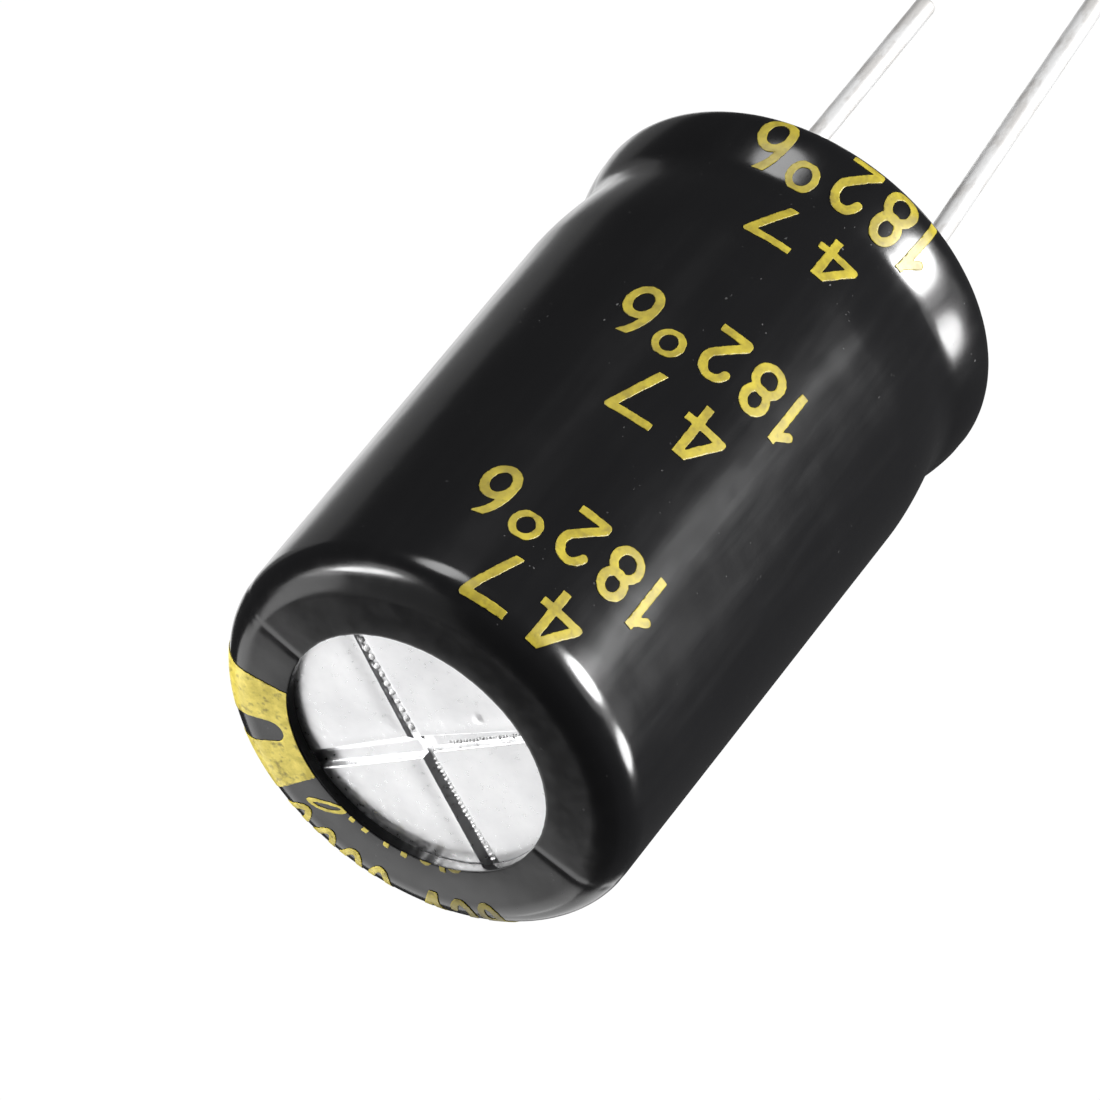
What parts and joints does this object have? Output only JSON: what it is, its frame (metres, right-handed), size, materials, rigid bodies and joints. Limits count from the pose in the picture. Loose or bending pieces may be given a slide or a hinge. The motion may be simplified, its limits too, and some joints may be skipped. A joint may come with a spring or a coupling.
{
  "type": "electrolytic capacitor",
  "caption": "Radial aluminium electrolytic capacitor: black sleeved can with a cross-scored vent, rubber end seal, wound foils inside and tinned wire leads.",
  "frame": {"origin": "middle of the seat at the lead end, midway between the two leads", "axes": "+Z along the body from the lead end to the vent end, so the leads point along -Z; +X from the anode lead to the cathode lead, with the polarity stripe on the +X side; +Y completes a right-handed frame"},
  "size_m": [0.0162, 0.0162, 0.0476],
  "materials": {
    "sleeve_film": "glossy heat-shrunk film",
    "printed_ink": "semi-gloss yellow ink",
    "can_aluminium": "drawn, bright",
    "seal_rubber": "matt moulded rubber",
    "tinned_wire": "tinned, semi-bright",
    "tab_aluminium": "pressed, satin",
    "anode_foil_metal": "etched, matt grey",
    "cathode_foil_metal": "etched, matt",
    "separator_paper": "soaked tissue",
    "tape_film": "adhesive film"
  },
  "bodies": {
    "root": {"sleeve": "sleeve_film", "polarity_stripe": "printed_ink", "can": "can_aluminium", "bung": "seal_rubber", "cathode_lead": "tinned_wire", "anode_lead": "tinned_wire", "cathode_tab": "tab_aluminium", "anode_tab": "tab_aluminium", "anode_foil": "anode_foil_metal", "cathode_foil": "cathode_foil_metal", "inner_separator": "separator_paper", "outer_separator": "separator_paper", "fixing_tape": "tape_film"}
  },
  "joints": []
}
